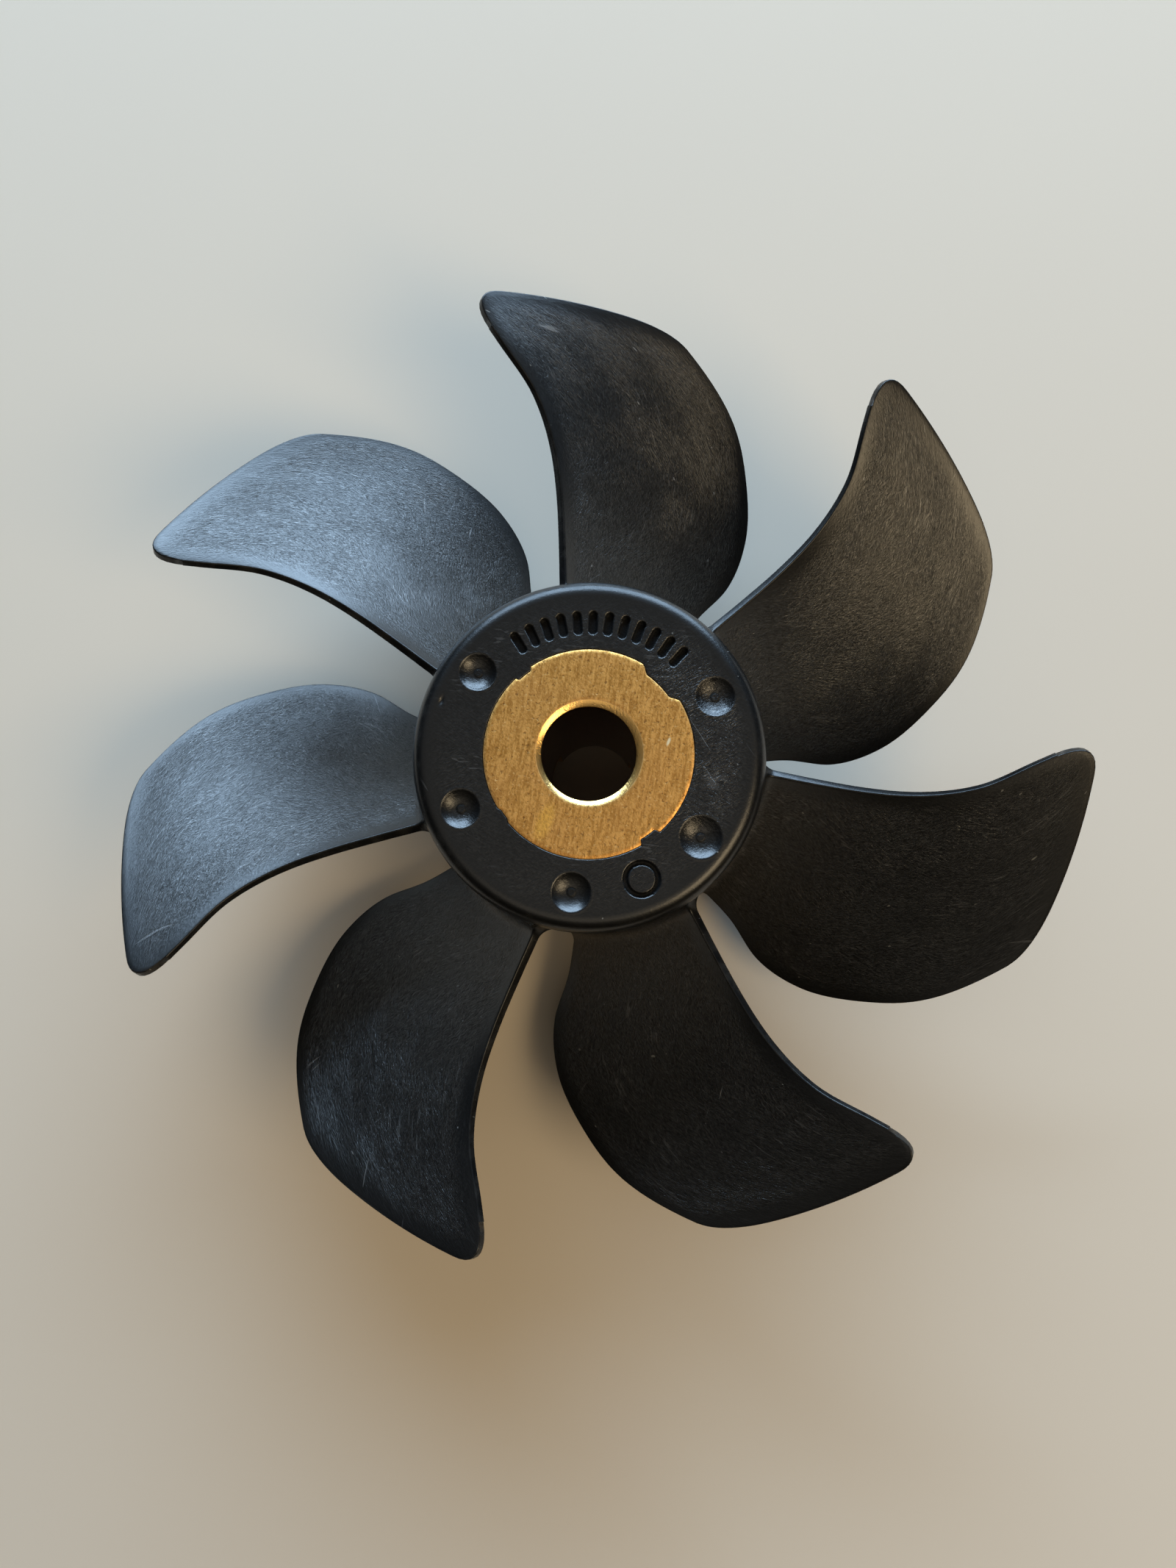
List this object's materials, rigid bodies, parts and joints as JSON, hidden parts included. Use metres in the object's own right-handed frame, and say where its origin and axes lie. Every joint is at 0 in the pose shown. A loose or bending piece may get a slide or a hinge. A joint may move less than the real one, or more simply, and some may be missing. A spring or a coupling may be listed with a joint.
{
  "type": "boat thruster propeller",
  "caption": "Right-handed boat thruster propeller with skewed square-tipped plastic blades moulded round a bored bronze bush.",
  "frame": {"origin": "on the shaft axis, in the plane of the hub's back face, which the part stands on", "axes": "+Z along the shaft axis, out of the marked front face; +Y through the middle of the marking on that face; the pin slot in the back of the bush lies along X"},
  "size_m": [0.1061, 0.1064, 0.03],
  "materials": {
    "moulding": "satin black glass-filled plastic with fine scuffs",
    "bronze": "faced bronze, finely scratched and slightly tarnished"
  },
  "bodies": {
    "root": {"hub": "moulding", "bush": "bronze", "blade_1": "moulding", "blade_2": "moulding", "blade_3": "moulding", "blade_4": "moulding", "blade_5": "moulding", "blade_6": "moulding", "blade_7": "moulding"}
  },
  "joints": []
}
